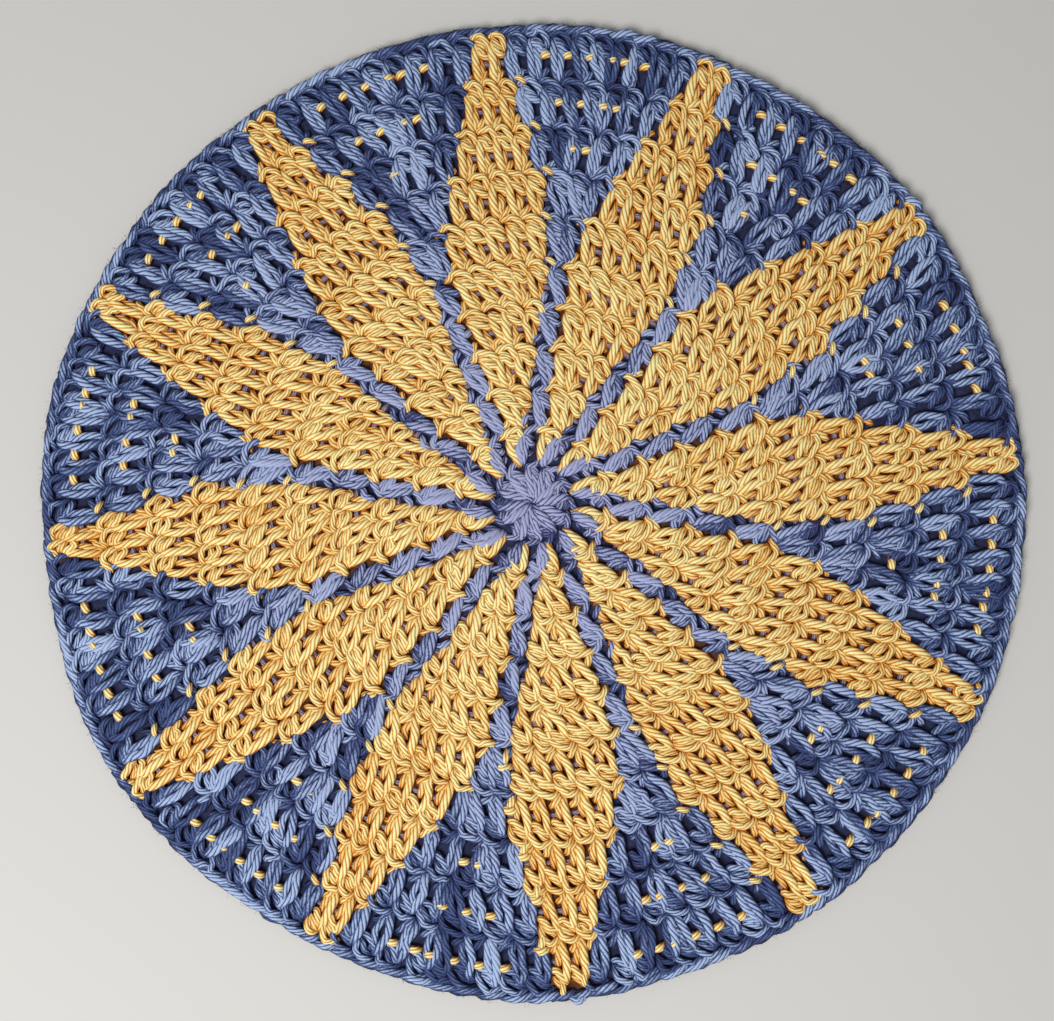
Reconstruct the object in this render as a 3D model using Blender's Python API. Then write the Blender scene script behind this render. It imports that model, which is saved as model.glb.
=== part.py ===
"""Crochet placemat: a round flat mat worked from its centre outwards in rounds of double crochet.

The mat lies on its underside at z = 0, with the centre of its first round at the origin. It is one piece of
fabric, so it is one closed solid: a flat underside, a rounded rim, and an upper face with a low rib for each
round. All sizes are in metres.
"""

import math

import bmesh
import bpy

# Driving dimensions
MAT_RADIUS = 0.165              # mean reach of the rim from the centre of the first round
MAT_THICKNESS = 0.0048          # from the table to the row of loops that ends a round
GROOVE_DEPTH = 0.0012           # how far the upper face dips where one round is worked into the last
CENTRE_DIMPLE_DEPTH = 0.0016    # dip over the drawn-up starting ring
CENTRE_DIMPLE_RADIUS = 0.0016
EDGING_WIDTH = 0.0035           # from the last round's tops to the rim
RIM_SEGMENTS = 72               # six for each of the twelve wedges

# Where each round ends in its row of loops, measured from the centre
ROUND_TOPS = (0.0139, 0.0253, 0.0394, 0.0533, 0.0676, 0.0817, 0.0974, 0.1130, 0.1286, 0.1447, 0.1615)

# The slope of one round, from the groove at its foot to its row of loops:
# share of the round's height, share of the groove's depth that is left
ROUND_PROFILE = (
    (0.06, 1.00),   # groove, where the posts are drawn into the round before
    (0.45, 0.30),   # posts
    (0.88, 0.00),   # row of loops
)

# The edging's section, from the last round's tops over the rim to the underside:
# distance in from the rim as a share of the edging's width, height as a share of the mat's thickness
EDGING_PROFILE = (
    (1.00, 0.88),
    (0.55, 0.98),
    (0.15, 0.70),
    (0.00, 0.45),
    (0.40, 0.00),
)

# The rim isn't a true circle: waves round the rim, height of a wave, direction of one crest in degrees
RIM_WAVES = (
    (2, 0.00090, 5.0),
    (3, 0.00022, 55.0),
    (5, 0.00026, 68.0),
    (6, 0.00049, 34.0),
    (7, 0.00035, 9.0),
    (8, 0.00037, 36.0),
    (11, 0.00025, 8.5),
)

# Slate blue cotton, the ground of the mat and its rim
YARN_COLOUR = (0.115, 0.159, 0.347, 1.0)
YARN_ROUGHNESS = 0.85


def clear_scene():
    """Remove whatever objects the start-up scene holds."""
    for item in list(bpy.data.objects):
        bpy.data.objects.remove(item, do_unlink=True)


def rim_wave(angle):
    """How far the rim reaches past its mean radius in one direction."""
    return sum(
        height * math.cos(waves * (angle - math.radians(crest)))
        for waves, height, crest in RIM_WAVES
    )


def mat_section():
    """The mat's section from the centre of its upper face, over the rim, to the edge of its underside.

    Each pair is a radius and a height.
    """
    section = [(CENTRE_DIMPLE_RADIUS, MAT_THICKNESS - CENTRE_DIMPLE_DEPTH)]
    foot = 0.0
    for top in ROUND_TOPS:
        for share, dip in ROUND_PROFILE:
            radius = foot + share * (top - foot)
            if radius > 2 * CENTRE_DIMPLE_RADIUS:
                section.append((radius, MAT_THICKNESS - dip * GROOVE_DEPTH))
        foot = top
    section += [
        (MAT_RADIUS - inset * EDGING_WIDTH, level * MAT_THICKNESS)
        for inset, level in EDGING_PROFILE
    ]
    return section


def add_ring(mesh, radius, height):
    """One ring of points round the mat, which takes on more of the rim's waves the further out it lies."""
    ring = []
    for step in range(RIM_SEGMENTS):
        angle = math.tau * step / RIM_SEGMENTS
        reach = radius + rim_wave(angle) * (radius / MAT_RADIUS) ** 2
        ring.append(mesh.verts.new((reach * math.cos(angle), reach * math.sin(angle), height)))
    return ring


def join_rings(mesh, inner, outer):
    """A band of faces between two rings."""
    for step in range(RIM_SEGMENTS):
        after = (step + 1) % RIM_SEGMENTS
        mesh.faces.new((inner[step], outer[step], outer[after], inner[after]))


def yarn_material():
    """Matt cotton yarn."""
    material = bpy.data.materials.new("slate_blue_cotton")
    material.use_nodes = True
    shader = material.node_tree.nodes["Principled BSDF"]
    shader.inputs["Base Color"].default_value = YARN_COLOUR
    shader.inputs["Roughness"].default_value = YARN_ROUGHNESS
    shader.inputs["Metallic"].default_value = 0.0
    return material


def build_mat():
    """The whole mat as one closed solid."""
    mesh = bmesh.new()
    rings = [add_ring(mesh, radius, height) for radius, height in mat_section()]
    mesh.faces.new(rings[0])
    for inner, outer in zip(rings, rings[1:]):
        join_rings(mesh, inner, outer)
    mesh.faces.new(list(reversed(rings[-1])))
    bmesh.ops.triangulate(mesh, faces=mesh.faces[:])
    bmesh.ops.recalc_face_normals(mesh, faces=mesh.faces[:])

    data = bpy.data.meshes.new("mat")
    mesh.to_mesh(data)
    mesh.free()
    data.materials.append(yarn_material())
    mat = bpy.data.objects.new("mat", data)
    bpy.context.scene.collection.objects.link(mat)
    return mat


clear_scene()
build_mat()
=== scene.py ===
# Crochet placemat: a round flat mat of double crochet, twelve golden petals worked into a slate blue ground.
import math
import random

import bmesh
import bpy
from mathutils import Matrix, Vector


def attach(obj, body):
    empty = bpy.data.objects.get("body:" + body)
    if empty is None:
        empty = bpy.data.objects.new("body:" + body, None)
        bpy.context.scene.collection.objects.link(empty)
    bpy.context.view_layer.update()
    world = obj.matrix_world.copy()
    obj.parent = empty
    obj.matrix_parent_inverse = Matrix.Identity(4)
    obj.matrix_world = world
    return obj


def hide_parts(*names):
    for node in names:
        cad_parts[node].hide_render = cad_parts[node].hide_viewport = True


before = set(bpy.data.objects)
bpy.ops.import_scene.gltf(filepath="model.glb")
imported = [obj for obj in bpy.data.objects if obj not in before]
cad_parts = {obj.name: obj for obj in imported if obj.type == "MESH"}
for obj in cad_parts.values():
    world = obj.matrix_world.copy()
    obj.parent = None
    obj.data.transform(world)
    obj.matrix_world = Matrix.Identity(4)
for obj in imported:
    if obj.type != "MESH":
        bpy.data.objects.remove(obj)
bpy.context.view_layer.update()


# Camera. It looks almost straight down on the mat from a little towards the viewer, so the near rim is
# slightly larger. The middle of the picture falls just to the left of and below the mat's first round.
MILLIMETRE = 0.001
PICTURE_WIDTH = 1054                    # pixels
PIXEL = 0.3351 * MILLIMETRE             # on the mat's upper face
CAMERA_DISTANCE = 0.419
CAMERA_TILT = math.radians(2.5)
CAMERA_AIM = Vector((-0.0020, -0.0025, 0.0040))
SENSOR_WIDTH = 36.0

camera_data = bpy.data.cameras.new("camera")
camera_data.sensor_width = SENSOR_WIDTH
camera_data.lens = SENSOR_WIDTH * CAMERA_DISTANCE / (PICTURE_WIDTH * PIXEL)
camera = bpy.data.objects.new("camera", camera_data)
camera.location = CAMERA_AIM + CAMERA_DISTANCE * Vector((0, -math.sin(CAMERA_TILT), math.cos(CAMERA_TILT)))
camera.rotation_euler = (CAMERA_TILT, 0, 0)
bpy.context.scene.collection.objects.link(camera)
bpy.context.scene.camera = camera


# Inner web. Behind the strands that show lies the hidden half of every stitch, which closes the small holes
# between the posts. It is a thin cloth in the middle of the mat, of the ground's cotton or of the petals',
# coloured with painted shade, far darker than the yarn's own colour.
ROUNDS = (
    # radius of its top in mm, yellow stitches in a petal, gap that takes two stitches, start of the far petal
    # in degrees, width of a yellow stitch as a share of the round's mean
    (13.9, 0, 0, -47.0, 1.00),
    (25.3, 1, 1, -23.9, 1.00),
    (39.4, 2, 1, -23.0, 1.00),
    (53.3, 3, 1, -22.6, 1.00),
    (67.6, 4, 2, -21.5, 1.00),
    (81.7, 5, 3, -21.2, 0.98),
    (97.4, 5, 6, -18.9, 0.97),
    (113.0, 5, 7, -14.9, 0.90),
    (128.6, 4, 6, -11.9, 0.88),
    (144.7, 3, 7, -9.5, 0.80),
    (161.5, 2, 7, -7.4, 0.72),
)
WEDGES = 12                             # each holds one petal, counted clockwise from the far side
WEDGE = 360 / WEDGES
PETAL_DRIFT = (0.0, -2.1, -1.8, -0.4, -0.1, 1.0, 0.9, 1.9, 0.2, 0.8, 0.7, -0.7)  # degrees at a petal's tip
PETAL_REACH = 157.0                     # mm
RIM_RADIUS = 165.0
RIM_STEPS = 72

rim_points = [
    (math.atan2(v.co.x, v.co.y) / math.tau * RIM_STEPS, v.co.xy.length / MILLIMETRE)
    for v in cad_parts["mat"].data.vertices
]
rim_reach = [
    max(reach for turn, reach in rim_points if round(turn - step) % RIM_STEPS == 0)
    for step in range(RIM_STEPS)
]


def place(radius, angle, height):
    """A point of the mat in metres, from a radius in mm, a direction in degrees and a height in mm."""
    turn = (angle % 360) / 360 * RIM_STEPS
    step, share = int(turn), turn % 1
    reach = rim_reach[step % RIM_STEPS] * (1 - share) + rim_reach[(step + 1) % RIM_STEPS] * share
    radius += (reach - RIM_RADIUS) * (radius / RIM_RADIUS) ** 2
    turn = math.radians(angle)
    return Vector((radius * math.sin(turn), radius * math.cos(turn), height)) * MILLIMETRE


def gap(number, wedge, position):
    """Direction in degrees of a gap between two heads of a round, where the next round is worked in."""
    count = number + 1
    top, yellow, _, first, width = ROUNDS[number]
    start, after = (
        WEDGE * w + first + PETAL_DRIFT[w % WEDGES] * top / RIM_RADIUS for w in (wedge, wedge + 1)
    )
    passed = min(position, yellow) * width
    if position > yellow:
        passed += (position - yellow) * (count - yellow * width) / (count - yellow)
    return start + (after - start) * passed / count


def in_petal(radius, angle):
    """Whether a place on the mat is worked in the petals' yarn."""
    number = sum(radius > top for top, *_ in ROUNDS[:-1])
    yellow = ROUNDS[number][1]
    return radius < PETAL_REACH and any(
        (angle - gap(number, wedge, 0)) % 360 < gap(number, wedge, yellow) - gap(number, wedge, 0)
        for wedge in range(WEDGES)
    )


def linear(hex_colour):
    """An sRGB hex colour as linear red, green, blue and alpha."""
    values = [int(hex_colour[i:i + 2], 16) / 255 for i in (1, 3, 5)]
    return [v / 12.92 if v <= 0.04045 else ((v + 0.055) / 1.055) ** 2.4 for v in values] + [1.0]


def add_node(tree, kind, inputs=None, **settings):
    """Add one node with its settings, and give each of its inputs a value or a link."""
    node = tree.nodes.new(kind)
    for name, value in settings.items():
        setattr(node, name, value)
    for socket, value in (inputs or {}).items():
        if isinstance(value, bpy.types.NodeSocket):
            tree.links.new(value, node.inputs[socket])
        else:
            node.inputs[socket].default_value = value
    return node


def part_of_mat(piece):
    """The piece is cotton yarn of the mat and takes the place of its plain solid."""
    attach(piece, "root")
    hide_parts("mat")


WEB_LOW, WEB_HIGH = 1.7, 2.2            # mm above the table
WEB_RADIUS = 162.0
WEB_MIDDLE_RADIUS = ROUNDS[4][0]        # one more ring of its underside, so that its faces are shorter
WEB_STEPS = 360
MOTTLE_SIZE = 1.6                       # mm
MOTTLE_DARK, MOTTLE_LIGHT = 0.35, 0.70  # levels of the mottling below and above which it is all dark or light


def cotton_in_painted_shade(name, dark, light):
    """Cotton deep in the fabric, seen only through its holes: painted dark with shade, matt, and mottled by
    the fibres across it.
    """
    material = bpy.data.materials.new(name)
    material.use_nodes = True
    tree = material.node_tree
    shader = tree.nodes["Principled BSDF"]
    spot = add_node(tree, "ShaderNodeTexCoord")
    fibres = add_node(
        tree, "ShaderNodeTexNoise",
        {"Vector": spot.outputs["Object"], "Scale": 1 / (MOTTLE_SIZE * MILLIMETRE), "Detail": 3.0},
    )
    mottled = add_node(tree, "ShaderNodeValToRGB", {"Fac": fibres.outputs["Fac"]})
    stops = mottled.color_ramp.elements
    stops[0].position, stops[0].color = MOTTLE_DARK, linear(dark)
    stops[1].position, stops[1].color = MOTTLE_LIGHT, linear(light)
    tree.links.new(mottled.outputs["Color"], shader.inputs["Base Color"])
    shader.inputs["Roughness"].default_value = 0.95
    return material


web_mesh = bmesh.new()
section = [(0, WEB_HIGH), *((top, WEB_HIGH) for top, *_ in ROUNDS), (WEB_RADIUS, WEB_HIGH)]
section += [(WEB_RADIUS, WEB_LOW), (WEB_MIDDLE_RADIUS, WEB_LOW), (0, WEB_LOW)]
corners = [web_mesh.verts.new((radius, 0, height)) for radius, height in section]
edges = [web_mesh.edges.new(pair) for pair in zip(corners, corners[1:])]
bmesh.ops.spin(
    web_mesh, geom=corners + edges, cent=(0, 0, 0), axis=(0, 0, 1), dvec=(0, 0, 0),
    angle=math.tau, steps=WEB_STEPS, use_merge=True,
)
bmesh.ops.remove_doubles(web_mesh, verts=web_mesh.verts[:], dist=0.001)
for face in web_mesh.faces:
    middle = face.calc_center_median()
    face.material_index = int(in_petal(middle.xy.length, math.degrees(math.atan2(middle.x, middle.y))))
for v in web_mesh.verts:
    v.co = place(v.co.xy.length, math.degrees(math.atan2(v.co.x, v.co.y)), v.co.z)
bmesh.ops.recalc_face_normals(web_mesh, faces=web_mesh.faces[:])
web_data = bpy.data.meshes.new("inner_web")
web_mesh.to_mesh(web_data)
web_mesh.free()
# Both tones of each are painted shade: slate under the ground, warm brown under the petals.
web_data.materials.append(cotton_in_painted_shade("slate_cotton_in_painted_shade", "#181c38", "#2b3256"))
web_data.materials.append(cotton_in_painted_shade("golden_cotton_in_painted_shade", "#46220f", "#72401e"))
inner_web = bpy.data.objects.new("inner_web", web_data)
bpy.context.scene.collection.objects.link(inner_web)
part_of_mat(inner_web)


# Worked stitches. Each is one double crochet of cotton yarn, drawn up through a gap between two heads of the
# round before and closed by its own head. Its strands are charted once and bent into place all round the mat.
STRANDS = {
    # yarn radius in mm, mm of yarn before it, then points: across in stitches, outward in rows, height in mm
    "post": (1.6, 0, (
        (0.00, -0.04, 1.5), (-0.02, 0.04, 2.4), (-0.12, 0.22, 3.3), (-0.22, 0.42, 3.55),
        (-0.24, 0.62, 3.4), (-0.18, 0.80, 2.8), (-0.08, 0.90, 2.1),
    )),
    "leg": (1.4, 16, (
        (0.04, -0.03, 1.5), (0.09, 0.05, 2.3), (0.18, 0.20, 2.9), (0.22, 0.36, 3.0), (0.21, 0.56, 2.3),
    )),
    "back_loop": (1.35, 37, (
        (-0.47, 1.00, 2.0), (-0.36, 1.07, 2.8), (-0.20, 1.15, 3.1), (-0.02, 1.23, 2.9), (0.12, 1.28, 2.1),
    )),
    "head_bar": (1.3, 22, (
        (-0.28, 0.86, 2.5), (-0.12, 0.80, 3.2), (0.10, 0.70, 3.6), (0.34, 0.60, 3.65),
        (0.55, 0.56, 3.3), (0.68, 0.58, 2.4),
    )),
    "inner_bar": (1.15, 28, ((-0.24, 0.95, 2.4), (0.02, 0.88, 3.2), (0.30, 0.77, 3.4), (0.52, 0.70, 2.7))),
    "front_loop": (1.25, 33, (
        (-0.48, 0.95, 2.0), (-0.32, 0.985, 2.9), (-0.08, 1.03, 3.5), (0.20, 1.02, 3.7),
        (0.46, 0.93, 3.65), (0.62, 0.79, 3.3), (0.62, 0.65, 2.5),
    )),
}
# The first head of each petal's row reaches further to the left, into a pointed toe
TOE_LOOP = (
    (-0.68, 0.93, 2.3), (-0.50, 0.96, 3.2), (-0.20, 1.02, 3.55), (0.12, 1.03, 3.7),
    (0.42, 0.94, 3.65), (0.60, 0.79, 3.3), (0.60, 0.65, 2.5),
)
# In the slate cotton the leg runs closer beside the post. Where one stitch is all the ground of its wedge,
# as in the six inner rounds, it ends in a plain slanting strand.
SLATE_LEG = (
    (0.05, -0.03, 1.5), (0.13, 0.06, 2.5), (0.19, 0.22, 3.3),
    (0.14, 0.44, 3.45), (0.05, 0.66, 3.1), (-0.02, 0.84, 2.3),
)
LONE_LOOP = ((-0.44, 0.78, 2.2), (-0.20, 0.88, 3.3), (0.10, 0.97, 3.6), (0.36, 1.03, 3.3), (0.50, 1.06, 2.3))
# mm that the slate cotton's strands lie above their charted height, or below it
SLATE_RAISE = {"post": 0.2, "leg": 0.1, "head_bar": -0.2, "inner_bar": -0.25, "front_loop": -0.2}
YARN_PER_STITCH = 42.0                  # mm
DRAWN_UP_RING = 1.2                     # mm, radius of the ring that the first round is worked into
BEYOND_HEAD = 15.0                      # mm that a whole row outward is worth past a round's top
LOWEST_YARN = 1.2                       # mm, where the lowest strands run, so that the mat rests on the table
SHARED_GAP_SPREAD = 0.13                # how far two stitches in one gap stand apart, in stitches


def stitches():
    """Every stitch: its round, its wedge, its place there, its colour, its foot, head and pitch in degrees,
    and how many were worked before it.
    """
    count = 0
    for number, (_, yellow, shared, _, _) in enumerate(ROUNDS):
        parents = list(range(1, number + 1))
        parents.insert(shared, shared)
        for wedge in range(WEDGES):
            for position, parent in enumerate(parents):
                colour = "yellow" if position < yellow else "blue"
                left, right = gap(number, wedge, position), gap(number, wedge, position + 1)
                head, pitch = (left + right) / 2, right - left
                foot = gap(number - 1, wedge, parent) if number else head
                if number and parents.count(parent) == 2:
                    side = -1 if parents.index(parent) == position else 1
                    foot += side * SHARED_GAP_SPREAD * pitch
                yield number, wedge, position, colour, foot, head, pitch, count
                count += 1


def bend(points, number, foot, head, pitch, sway=0.0, lift=0.0):
    """A strand's charted points in their place on the mat."""
    low, high = ROUNDS[number - 1][0] if number else DRAWN_UP_RING, ROUNDS[number][0]
    line = []
    for across, outward, height in points:
        angle = foot + (head - foot) * min(max(outward, 0), 1) + (across + sway * outward) * pitch
        radius = low + min(outward, 1) * (high - low) + max(outward - 1, 0) * BEYOND_HEAD
        line.append(place(radius, angle, max(height + lift, LOWEST_YARN)))
    return line


YARN_HEIGHT = 0.78                      # share of a strand's width, as the stitches press it flat
END_TAPER = 0.7                         # share of a strand's width that is left at its two ends


def yarn_spinner(sides, steps):
    """Geometry nodes that give every line of points a round yarn with closed ends."""
    group = bpy.data.node_groups.new("yarn_spinner", "GeometryNodeTree")
    group.interface.new_socket("Geometry", in_out="INPUT", socket_type="NodeSocketGeometry")
    group.interface.new_socket("Geometry", in_out="OUTPUT", socket_type="NodeSocketGeometry")
    given = add_node(group, "NodeGroupInput")
    lines = add_node(group, "GeometryNodeMeshToCurve", {"Mesh": given.outputs[0]})
    curved = add_node(
        group, "GeometryNodeCurveSplineType", {"Curve": lines.outputs[0]}, spline_type="CATMULL_ROM",
    )
    finer = add_node(
        group, "GeometryNodeSetSplineResolution", {"Geometry": curved.outputs[0], "Resolution": steps},
    )
    upright = add_node(group, "GeometryNodeSetCurveNormal", {"Curve": finer.outputs[0]}, mode="Z_UP")
    thick = add_node(group, "GeometryNodeInputNamedAttribute", {"Name": "thick"}, data_type="FLOAT")
    circle = add_node(group, "GeometryNodeCurvePrimitiveCircle", {"Resolution": sides, "Radius": 1.0})
    around = add_node(group, "GeometryNodeInputPosition")
    ringed = add_node(
        group, "GeometryNodeStoreNamedAttribute",
        {"Geometry": circle.outputs[0], "Name": "ring", "Value": around.outputs[0]},
        data_type="FLOAT_VECTOR", domain="POINT",
    )
    oval = add_node(
        group, "GeometryNodeTransform", {"Geometry": ringed.outputs[0], "Scale": (1, YARN_HEIGHT, 1)},
    )
    spun = add_node(
        group, "GeometryNodeCurveToMesh",
        {
            "Curve": upright.outputs[0], "Profile Curve": oval.outputs[0], "Scale": thick.outputs[0],
            "Fill Caps": True,
        },
    )
    add_node(group, "NodeGroupOutput", {"Geometry": spun.outputs[0]})
    return group


def spun_piece(name, strands, material, sides=8, steps=2):
    """One piece of yarn. Each strand is its points, its radius in mm and the mm of yarn before it."""
    lines = bmesh.new()
    along = lines.verts.layers.float.new("along")
    thick = lines.verts.layers.float.new("thick")
    for points, radius, used in strands:
        before = None
        for point in points:
            here = lines.verts.new(point)
            if before:
                used += (here.co - before.co).length / MILLIMETRE
                lines.edges.new((before, here))
            here[along] = used
            here[thick] = radius * MILLIMETRE * (END_TAPER if point in (points[0], points[-1]) else 1.0)
            before = here
    data = bpy.data.meshes.new("lines")
    lines.to_mesh(data)
    lines.free()
    piece = bpy.data.objects.new(name, data)
    bpy.context.scene.collection.objects.link(piece)
    piece.modifiers.new("spin", "NODES").node_group = yarn_spinner(sides, steps)
    seen = bpy.context.evaluated_depsgraph_get()
    solid = bpy.data.meshes.new_from_object(piece.evaluated_get(seen), depsgraph=seen)
    piece.modifiers.clear()
    piece.data = solid
    solid.name = name
    solid.shade_smooth()
    solid.materials.clear()
    solid.materials.append(material)
    part_of_mat(piece)
    return piece


# Cotton of six fine plies: each ply has a painted highlight and a darker line of painted shade beside it, and
# the lines wind slowly round the yarn. The top of each strand is painted lighter and its sides darker, and
# where it lies deep in the fabric the yarn takes painted shade, warmer or colder.
PLIES = 6
TWIST_LENGTH = 17.0                     # mm of yarn for one full turn
PLY_EDGE, PLY_CREST = 0.05, 0.75        # levels of a ply's round where its painted highlight starts and is full
SHADED_SIDE, LIT_CROWN = 0.1, -0.8                 # levels of the strand's ring where the painted highlight on its top starts and is full, its sides below in painted shade; the ring counts downwards
FIBRE_SIZE = 0.7                        # mm
DYE_RUN = 80.0                          # mm of yarn over which the dye shifts
PINCHED, PROUD = 2.4, 4.8               # mm above the table, from the deepest painted shade, low in the fabric, to none
CENTRE_START, CENTRE_END = 10.0, 150.0  # mm from the middle, over which the lighter, pinker tone near the centre fades out
FIBRE_TONE, DEPTH_SHADE_TONE, CROWN_LIGHT_TONE = 0.34, 0.36, 0.30   # how far each of these lightens the yarn: the fibres' own mottle, and painted light where a strand lies high and on its top
SHADE_STEP, BODY_STEP = 0.24, 0.50      # tone above the deepest colour where the next two are reached
FIBRE_RELIEF = 0.30                     # height of the fibres as a share of a ply's
PLY_RELIEF = 0.35                       # mm


def cotton_yarn(name, deep, shade, body, light, ply_light_and_shade, dyed, paler, darker, centre_tint):
    """Plied cotton, from its colour in the deepest painted shade to its painted highlight.

    ply_light_and_shade is how strongly painted highlight and shade set its plies apart, dyed how far the
    colour shifts along the yarn, paler how much lighter it is near the mat's centre, darker how deep the
    whole yarn is dyed, and centre_tint what colours it near the centre.
    """
    material = bpy.data.materials.new(name)
    material.use_nodes = True
    tree = material.node_tree
    shader = tree.nodes["Principled BSDF"]
    along = add_node(tree, "ShaderNodeAttribute", attribute_name="along")
    ring = add_node(tree, "ShaderNodeAttribute", attribute_name="ring")
    sides = add_node(tree, "ShaderNodeSeparateXYZ", {0: ring.outputs["Vector"]})
    turn = add_node(
        tree, "ShaderNodeMath", {0: sides.outputs["Y"], 1: sides.outputs["X"]}, operation="ARCTAN2",
    )
    wound = add_node(
        tree, "ShaderNodeMath",
        {0: along.outputs["Fac"], 1: math.tau / TWIST_LENGTH, 2: turn.outputs[0]}, operation="MULTIPLY_ADD",
    )
    halves = add_node(tree, "ShaderNodeMath", {0: wound.outputs[0], 1: PLIES / 2}, operation="MULTIPLY")
    wave = add_node(tree, "ShaderNodeMath", {0: halves.outputs[0]}, operation="COSINE")
    ply = add_node(tree, "ShaderNodeMath", {0: wave.outputs[0]}, operation="ABSOLUTE")
    # Painted highlight on each ply's crest, painted shade in the line between two plies
    lit = add_node(
        tree, "ShaderNodeMapRange", {"Value": ply.outputs[0], "From Min": PLY_EDGE, "From Max": PLY_CREST},
    )
    # Painted highlight on the top of each strand, painted shade down its sides
    crown_light = add_node(
        tree, "ShaderNodeMapRange", {"Value": sides.outputs["Y"], "From Min": SHADED_SIDE, "From Max": LIT_CROWN},
    )
    spot = add_node(tree, "ShaderNodeTexCoord")
    where = add_node(tree, "ShaderNodeSeparateXYZ", {0: spot.outputs["Object"]})
    # Painted shade on yarn that lies low in the fabric
    depth_shade = add_node(
        tree, "ShaderNodeMapRange",
        {"Value": where.outputs["Z"], "From Min": PINCHED * MILLIMETRE, "From Max": PROUD * MILLIMETRE},
    )
    flat = add_node(
        tree, "ShaderNodeVectorMath", {0: spot.outputs["Object"], 1: (1, 1, 0)}, operation="MULTIPLY",
    )
    reach = add_node(tree, "ShaderNodeVectorMath", {0: flat.outputs[0]}, operation="LENGTH")
    inner = add_node(
        tree, "ShaderNodeMapRange",
        {
            "Value": reach.outputs["Value"], "From Min": CENTRE_START * MILLIMETRE,
            "From Max": CENTRE_END * MILLIMETRE, "To Min": 1.0, "To Max": 0.0,
        },
    )
    fibres = add_node(
        tree, "ShaderNodeTexNoise",
        {
            "Vector": spot.outputs["Object"], "Scale": 1 / (FIBRE_SIZE * MILLIMETRE), "Detail": 3.0,
            "Roughness": 0.65,
        },
    )
    runs = add_node(
        tree, "ShaderNodeTexNoise",
        {"W": along.outputs["Fac"], "Scale": 1 / DYE_RUN, "Detail": 2.0, "Roughness": 0.6},
        noise_dimensions="1D",
    )
    shifts = add_node(
        tree, "ShaderNodeMapRange", {"Value": runs.outputs["Fac"], "From Min": 0.3, "From Max": 0.7},
    )
    tone = 0.0                          # grows from the darkest yarn at 0 to the lightest at 1, mostly by painted light and shade
    for value, weight in (
        (lit, ply_light_and_shade), (fibres, FIBRE_TONE), (shifts, dyed), (depth_shade, DEPTH_SHADE_TONE), (crown_light, CROWN_LIGHT_TONE),
        (inner, paler),
    ):
        added = add_node(
            tree, "ShaderNodeMath", {0: value.outputs[0], 1: weight, 2: tone}, operation="MULTIPLY_ADD",
        )
        tone = added.outputs[0]
    middle = (FIBRE_TONE + dyed) / 2    # the tone that fibres and dye add on average
    level = add_node(tree, "ShaderNodeMath", {0: tone, 1: darker}, operation="SUBTRACT")
    # The ramp's deep and shade colours stand for painted shade, its light colour for a painted highlight
    ramp = add_node(tree, "ShaderNodeValToRGB", {"Fac": level.outputs[0]})
    stops = ramp.color_ramp.elements
    stops[0].position, stops[0].color = middle, linear(deep)
    stops[1].position, stops[1].color = 1.0, linear(light)
    for step, colour in ((SHADE_STEP, shade), (BODY_STEP, body)):
        stops.new(middle + step).color = linear(colour)
    tinted = add_node(
        tree, "ShaderNodeMix", {0: inner.outputs[0], 6: ramp.outputs["Color"], 7: linear(centre_tint)},
        data_type="RGBA", blend_type="MULTIPLY",
    )
    hills = add_node(
        tree, "ShaderNodeMath", {0: fibres.outputs["Fac"], 1: FIBRE_RELIEF, 2: ply.outputs[0]},
        operation="MULTIPLY_ADD",
    )
    bump = add_node(
        tree, "ShaderNodeBump",
        {"Height": hills.outputs[0], "Strength": 0.8, "Distance": PLY_RELIEF * MILLIMETRE},
    )
    tree.links.new(tinted.outputs[2], shader.inputs["Base Color"])
    tree.links.new(bump.outputs["Normal"], shader.inputs["Normal"])
    shader.inputs["Roughness"].default_value = 0.65
    shader.inputs["Specular IOR Level"].default_value = 0.17
    shader.inputs["Sheen Weight"].default_value = 0.03
    shader.inputs["Sheen Roughness"].default_value = 0.5
    return material


# Each cotton's deep and shade colours are painted shade, and its light colour a painted highlight
COTTON = {
    "yellow": cotton_yarn(
        "golden_cotton", "#701c00", "#b85202", "#e29f37", "#fff3ae",
        ply_light_and_shade=0.36, dyed=0.08, paler=0.05, darker=0.24, centre_tint="#ffffff",
    ),
    "blue": cotton_yarn(
        "slate_variegated_cotton", "#11153a", "#2a345e", "#4c5d8a", "#a9bcdf",
        ply_light_and_shade=0.30, dyed=0.36, paler=0.19, darker=0.31, centre_tint="#ffe9ee",
    ),
}
AREA = {"yellow": "petal", "blue": "ground"}
JOIN_WEDGE = 6                          # the near petal, where every round starts and ends
FIRST_ROUND_SINK = 0.7                  # mm that the tightly drawn first round lies below the rest
# Worked by hand, no two stitches are quite alike
UNEVEN_SWAY = {"yellow": 0.05, "blue": 0.08}    # how far one leans sideways, in stitches
UNEVEN_STITCH = 0.06                    # mm that it lies higher or lower
UNEVEN_STRAND = 0.05                    # mm that one strand of it does
UNEVEN_WIDTH = 0.05                     # share of a strand's radius
UNEVEN_POINTS = (0.045, 0.022, 0.12)    # across in stitches, outward in rows, height in mm

chance = random.Random(11)


def by_hand(points, across, outward, height):
    """A strand's charted points, each a little off its place by chance."""
    return [
        (a + chance.gauss(0, across), o + chance.gauss(0, outward), h + chance.gauss(0, height))
        for a, o, h in points
    ]


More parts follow.
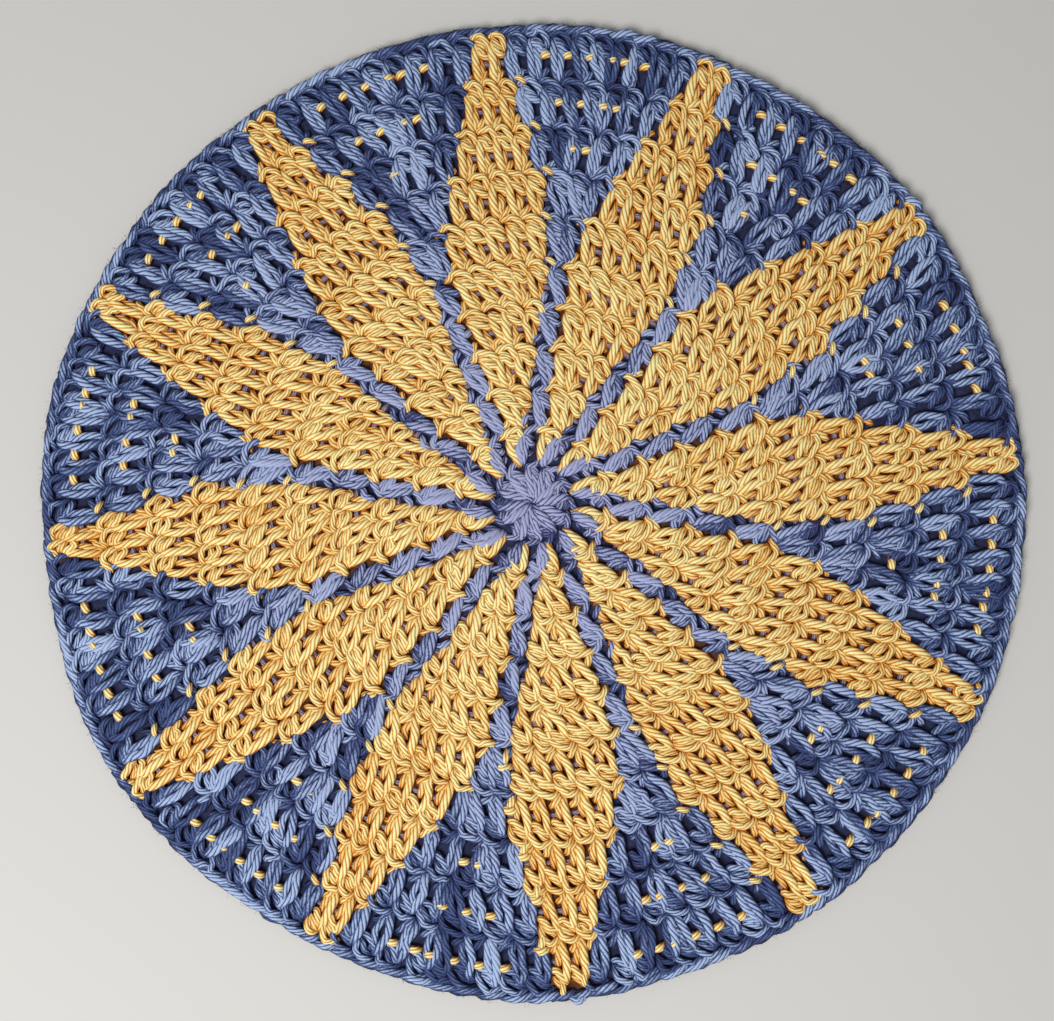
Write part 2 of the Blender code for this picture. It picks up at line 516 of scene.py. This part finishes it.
bundles = {(colour, part): [] for colour in COTTON for part in STRANDS}
last_round = len(ROUNDS) - 1
for number, wedge, position, colour, foot, head, pitch, count in stitches():
    sway, lift = chance.gauss(0, UNEVEN_SWAY[colour]), chance.gauss(0, UNEVEN_STITCH)
    if number == 0:
        lift -= FIRST_ROUND_SINK
    tip = number == last_round and wedge == JOIN_WEDGE and colour == "yellow"
    lone = number + 1 - ROUNDS[number][1] == 1
    for part, (radius, used, points) in STRANDS.items():
        if part == "back_loop" and number == last_round or part.endswith("loop") and tip:
            continue
        if part == "front_loop" and colour == "yellow" and position == 0:
            points = TOE_LOOP
        if colour == "blue":
            if part == "leg":
                points = SLATE_LEG
            elif part == "front_loop" and lone:
                points = LONE_LOOP
            raised = SLATE_RAISE.get(part, 0)
            points = [(across, outward, height + raised) for across, outward, height in points]
        points = by_hand(points, *UNEVEN_POINTS)
        line = bend(
            points, number, foot, head, pitch,
            sway=sway + chance.gauss(0, UNEVEN_SWAY[colour] / 2), lift=lift + chance.gauss(0, UNEVEN_STRAND),
        )
        radius *= 1 + chance.gauss(0, UNEVEN_WIDTH)
        bundles[colour, part].append((line, radius, used + count * YARN_PER_STITCH))
for colour, cotton in COTTON.items():
    posts = bundles[colour, "post"] + bundles[colour, "leg"] + bundles[colour, "back_loop"]
    heads = bundles[colour, "head_bar"] + bundles[colour, "inner_bar"] + bundles[colour, "front_loop"]
    spun_piece(f"{AREA[colour]}_posts", posts, cotton)
    spun_piece(f"{AREA[colour]}_heads", heads, cotton)


# Back of the stitches. The mat lies on it, so it shows only when the mat is turned over: plain posts and a
# bar for each stitch, flatter than those of the face.
BACK_STRANDS = (
    ((0.00, 0.00, 1.6), (0.05, 0.25, 1.2), (0.12, 0.50, 1.2), (0.10, 0.78, 1.3)),
    ((-0.05, 0.02, 1.6), (-0.30, 0.30, 1.2), (-0.33, 0.55, 1.2), (-0.20, 0.82, 1.4)),
    ((-0.45, 0.82, 1.3), (-0.10, 0.74, 1.2), (0.30, 0.72, 1.2), (0.45, 0.84, 1.6)),
)
BACK_YARN_RADIUS = 1.3
BACK_SWAY = 0.03                        # how far a strand strays sideways, in stitches

backs = {colour: [] for colour in COTTON}
for number, _, _, colour, foot, head, pitch, count in stitches():
    for points in BACK_STRANDS:
        line = bend(points, number, foot, head, pitch, sway=chance.gauss(0, BACK_SWAY))
        backs[colour].append((line, BACK_YARN_RADIUS, count * YARN_PER_STITCH))
for colour, cotton in COTTON.items():
    spun_piece(f"{AREA[colour]}_back", backs[colour], cotton, sides=6, steps=1)


# Carried yarn. The colour that rests is laid along the round before and worked over. It shows in the petals'
# holes as blue in painted shade, tinted mauve with painted golden light reflected from the petals, as small
# golden dots in the ground's outer rounds, and from the sixth to the tenth round as one golden dot to the
# right of each petal but the near one.
HIDDEN_CARRY = ((0.15, 0.42, 1.9), (0.45, 0.43, 2.5), (0.80, 0.42, 1.9))
DOT_CARRY = ((0.20, 0.51, 1.9), (0.36, 0.53, 3.5), (0.50, 0.54, 4.0), (0.64, 0.55, 3.5), (0.84, 0.56, 1.9))
# across, outward and height in mm from the outer right corner of a petal's row
CORNER_CARRY = ((-1.9, 1.1, 3.0), (-0.9, 0.6, 4.3), (0.0, 0.0, 4.7), (0.9, -0.6, 4.3), (1.9, -1.1, 3.0))
CORNER_ASIDE, CORNER_BEYOND = 2.6, 0.6  # mm past the petal's edge and past the row's top
CORNER_ROUNDS = range(5, 10)
# round, first and last stitch after the petal that may show a dot, share of them that do
DOTTED = {8: (1, 2, 0.8), 9: (1, 4, 0.9), 10: (1, 6, 0.97)}
CARRIED_RADIUS = 1.1
DOT_RADIUS = 1.35
CORNER_RADIUS = 1.0
# mm of yarn from one stitch, round or wedge to the next
CARRIED_STITCH, CARRIED_ROUND, CARRIED_WEDGE = 8, 90, 400


def laid_at(points, angle, radius):
    """A short strand's points, given in mm across and outward from one place on the mat."""
    return [
        place(radius + outward, angle + math.degrees(across / radius), height)
        for across, outward, height in points
    ]


carried = {colour: [] for colour in COTTON}
for number, wedge, position, colour, foot, head, pitch, _ in stitches():
    top, yellow, *_ = ROUNDS[number]
    used = position * CARRIED_STITCH + number * CARRIED_ROUND + wedge * CARRIED_WEDGE
    if colour == "yellow":
        carried["blue"].append((bend(HIDDEN_CARRY, number, foot, head, pitch), CARRIED_RADIUS, used))
    elif number in DOTTED:
        first, last, share = DOTTED[number]
        if first <= position - yellow <= last and chance.random() < share:
            carried["yellow"].append((bend(DOT_CARRY, number, foot, head, pitch), DOT_RADIUS, used))
    if number in CORNER_ROUNDS and position == yellow - 1 and wedge != JOIN_WEDGE:
        corner = gap(number, wedge, yellow) + math.degrees(CORNER_ASIDE / top)
        carried["yellow"].append((laid_at(CORNER_CARRY, corner, top + CORNER_BEYOND), CORNER_RADIUS, used))
spun_piece("carried_golden_yarn", carried["yellow"], COTTON["yellow"])
# All four colours of the resting blue are painted shade, warmed to mauve by painted golden light reflected
# from the petals
resting_blue_in_painted_shade = cotton_yarn(
    "resting_slate_cotton_in_painted_shade", "#4a3a44", "#5f4f5c", "#7d7080", "#9a90a6",
    ply_light_and_shade=0.36, dyed=0.10, paler=0.0, darker=0.0, centre_tint="#ffffff",
)
spun_piece("carried_slate_yarn", carried["blue"], resting_blue_in_painted_shade, sides=6, steps=1)


# Edging. One narrow round of blue loops is worked into the last heads. Each loop slants over the rim like the
# lay of a rope, and a second strand rounds the rim off below it.
EDGE_LOOPS = (
    # across in stitches, radius in mm, height in mm
    ((-0.70, 161.6, 2.9), (-0.35, 162.6, 3.6), (0.15, 163.4, 3.6), (0.65, 163.8, 2.5)),
    ((-0.62, 163.6, 1.5), (-0.20, 163.9, 1.9), (0.25, 163.9, 1.9), (0.62, 163.5, 1.4)),
)
EDGE_YARN_RADIUS = 1.3
EDGE_YARN_PER_LOOP = 13.0               # mm
UNEVEN_EDGE_POINTS = (0.06, 0.28, 0.16)     # across in stitches, outward and height in mm
UNEVEN_EDGE_WIDTH = 0.08                # share of a strand's radius

edge_strands = []
for number, _, _, _, _, head, pitch, count in stitches():
    if number == last_round:
        for loop in EDGE_LOOPS:
            line = [
                place(radius, head + across * pitch, height)
                for across, radius, height in by_hand(loop, *UNEVEN_EDGE_POINTS)
            ]
            radius = EDGE_YARN_RADIUS * (1 + chance.gauss(0, UNEVEN_EDGE_WIDTH))
            edge_strands.append((line, radius, count * EDGE_YARN_PER_LOOP))
spun_piece("edging", edge_strands, COTTON["blue"])


# Join. Every round starts and ends at the near petal's left edge, where a short bar of slip stitches stands
# a little proud in the outer rounds. Two clipped golden ends and one blue loop finish the mat at the tip.
# direction in degrees, mm from the centre
JOINS = ((178.9, 147.5), (179.5, 131.0), (181.6, 116.8), (184.3, 102.0), (186.4, 88.1))
YARN_ENDS = ((173.9, 158.8), (176.5, 161.4))
TIP_LOOP_PLACE = (174.8, 164.0)
# points: across, outward and height in mm
JOIN_BAR = ((-2.6, -0.4, 2.6), (-1.3, 0.3, 3.6), (0.8, 0.4, 3.9), (2.4, -0.3, 2.9))
JOIN_UPRIGHT = ((-0.8, -5.5, 2.4), (-0.5, -3.5, 3.6), (0.0, -1.5, 3.7), (0.4, 0.2, 2.8))
YARN_END = ((-0.3, -3.6, 2.8), (-0.2, -1.8, 3.8), (0.0, 0.2, 4.0), (0.0, 1.6, 3.5))
TIP_LOOP = ((-3.2, -2.4, 2.4), (-1.5, 0.2, 3.6), (0.4, 1.0, 3.8), (2.6, -0.8, 2.8))
JOIN_BAR_RADIUS = 1.5
JOIN_UPRIGHT_RADIUS = 1.35
YARN_END_RADIUS = 1.1
TIP_LOOP_RADIUS = 1.3
TIP_LOOP_YARN = 20                      # mm of yarn before it

# the direction or the radius also serves as the mm of yarn before a strand, so that no two look the same
join_strands = []
for angle, radius in JOINS:
    join_strands.append((laid_at(JOIN_BAR, angle, radius), JOIN_BAR_RADIUS, angle))
    join_strands.append((laid_at(JOIN_UPRIGHT, angle, radius), JOIN_UPRIGHT_RADIUS, radius))
for angle, radius in YARN_ENDS:
    join_strands.append((laid_at(YARN_END, angle, radius), YARN_END_RADIUS, angle))
spun_piece("petal_joins", join_strands, COTTON["yellow"])
tip_strand = (laid_at(TIP_LOOP, *TIP_LOOP_PLACE), TIP_LOOP_RADIUS, TIP_LOOP_YARN)
spun_piece("tip_loop", [tip_strand], COTTON["blue"])


# Stray fibres. The slate cotton is brushed a little by use, so short single fibres stand off its strands,
# many of them round the rim. They are drawn thicker than real ones, which are too fine to show.
FIBRE_RADIUS = 0.05                     # mm
RIM_FIBRES, FACE_FIBRES = 2200, 2600
RIM_BAND, FACE_BAND = (162.5, 164.6), (40, 162)     # mm from the centre
RIM_HEIGHTS, FACE_HEIGHTS = (1.5, 4.2), (4.0, 4.7)  # mm
FIBRE_ASIDE = 1.1                       # mm that a fibre's end strays sideways
RIM_FIBRE_REACH = (0.2, 1.7)            # mm that it reaches past the rim
FACE_FIBRE_REACH = 0.9                  # mm that it strays in or out on the face
FIBRE_RISE = 0.7                        # mm

stray = []
for number in range(RIM_FIBRES + FACE_FIBRES):
    angle = chance.uniform(0, 360)
    on_rim = number < RIM_FIBRES
    if on_rim:
        radius = chance.uniform(*RIM_BAND)
    else:
        radius = math.sqrt(chance.uniform(FACE_BAND[0] ** 2, FACE_BAND[1] ** 2))
    height = chance.uniform(*(RIM_HEIGHTS if on_rim else FACE_HEIGHTS))
    across = chance.gauss(0, FIBRE_ASIDE)
    outward = chance.uniform(*RIM_FIBRE_REACH) if on_rim else chance.gauss(0, FACE_FIBRE_REACH)
    if on_rim or not in_petal(radius, angle):
        fibre = ((0, 0, height), (across, outward, height + chance.uniform(0, FIBRE_RISE)))
        stray.append((laid_at(fibre, angle, radius), FIBRE_RADIUS, number))
spun_piece("stray_fibres", stray, COTTON["blue"], sides=3, steps=1)


# Table top and light: a plain pale surface, one broad soft light from above and a paler fill from all sides.
FLOOR_SIZE = 2.0
KEY_SIZE = 0.6
KEY_POWER = 12.0
KEY_PLACE = (-0.45, -0.55, 0.95)
FILL_STRENGTH = 0.36

floor_mesh = bmesh.new()
bmesh.ops.create_grid(floor_mesh, x_segments=1, y_segments=1, size=FLOOR_SIZE)
floor_data = bpy.data.meshes.new("floor")
floor_mesh.to_mesh(floor_data)
floor_mesh.free()
floor = bpy.data.objects.new("floor", floor_data)
bpy.context.scene.collection.objects.link(floor)
floor_material = bpy.data.materials.new("pale_matt_floor")
floor_material.use_nodes = True
floor_shader = floor_material.node_tree.nodes["Principled BSDF"]
floor_shader.inputs["Base Color"].default_value = linear("#d0cec9")
floor_shader.inputs["Roughness"].default_value = 0.9
floor_data.materials.append(floor_material)

key_data = bpy.data.lights.new("key", "AREA")
key_data.shape = "DISK"
key_data.size = KEY_SIZE
key_data.energy = KEY_POWER
key = bpy.data.objects.new("key", key_data)
key.location = KEY_PLACE
key.rotation_euler = (-key.location).to_track_quat("-Z", "Y").to_euler()
bpy.context.scene.collection.objects.link(key)

world = bpy.data.worlds.new("studio")
world.use_nodes = True
background = world.node_tree.nodes["Background"]
background.inputs["Color"].default_value = linear("#f2f4f7")
background.inputs["Strength"].default_value = FILL_STRENGTH
bpy.context.scene.world = world
bpy.context.scene.view_settings.view_transform = "Standard"
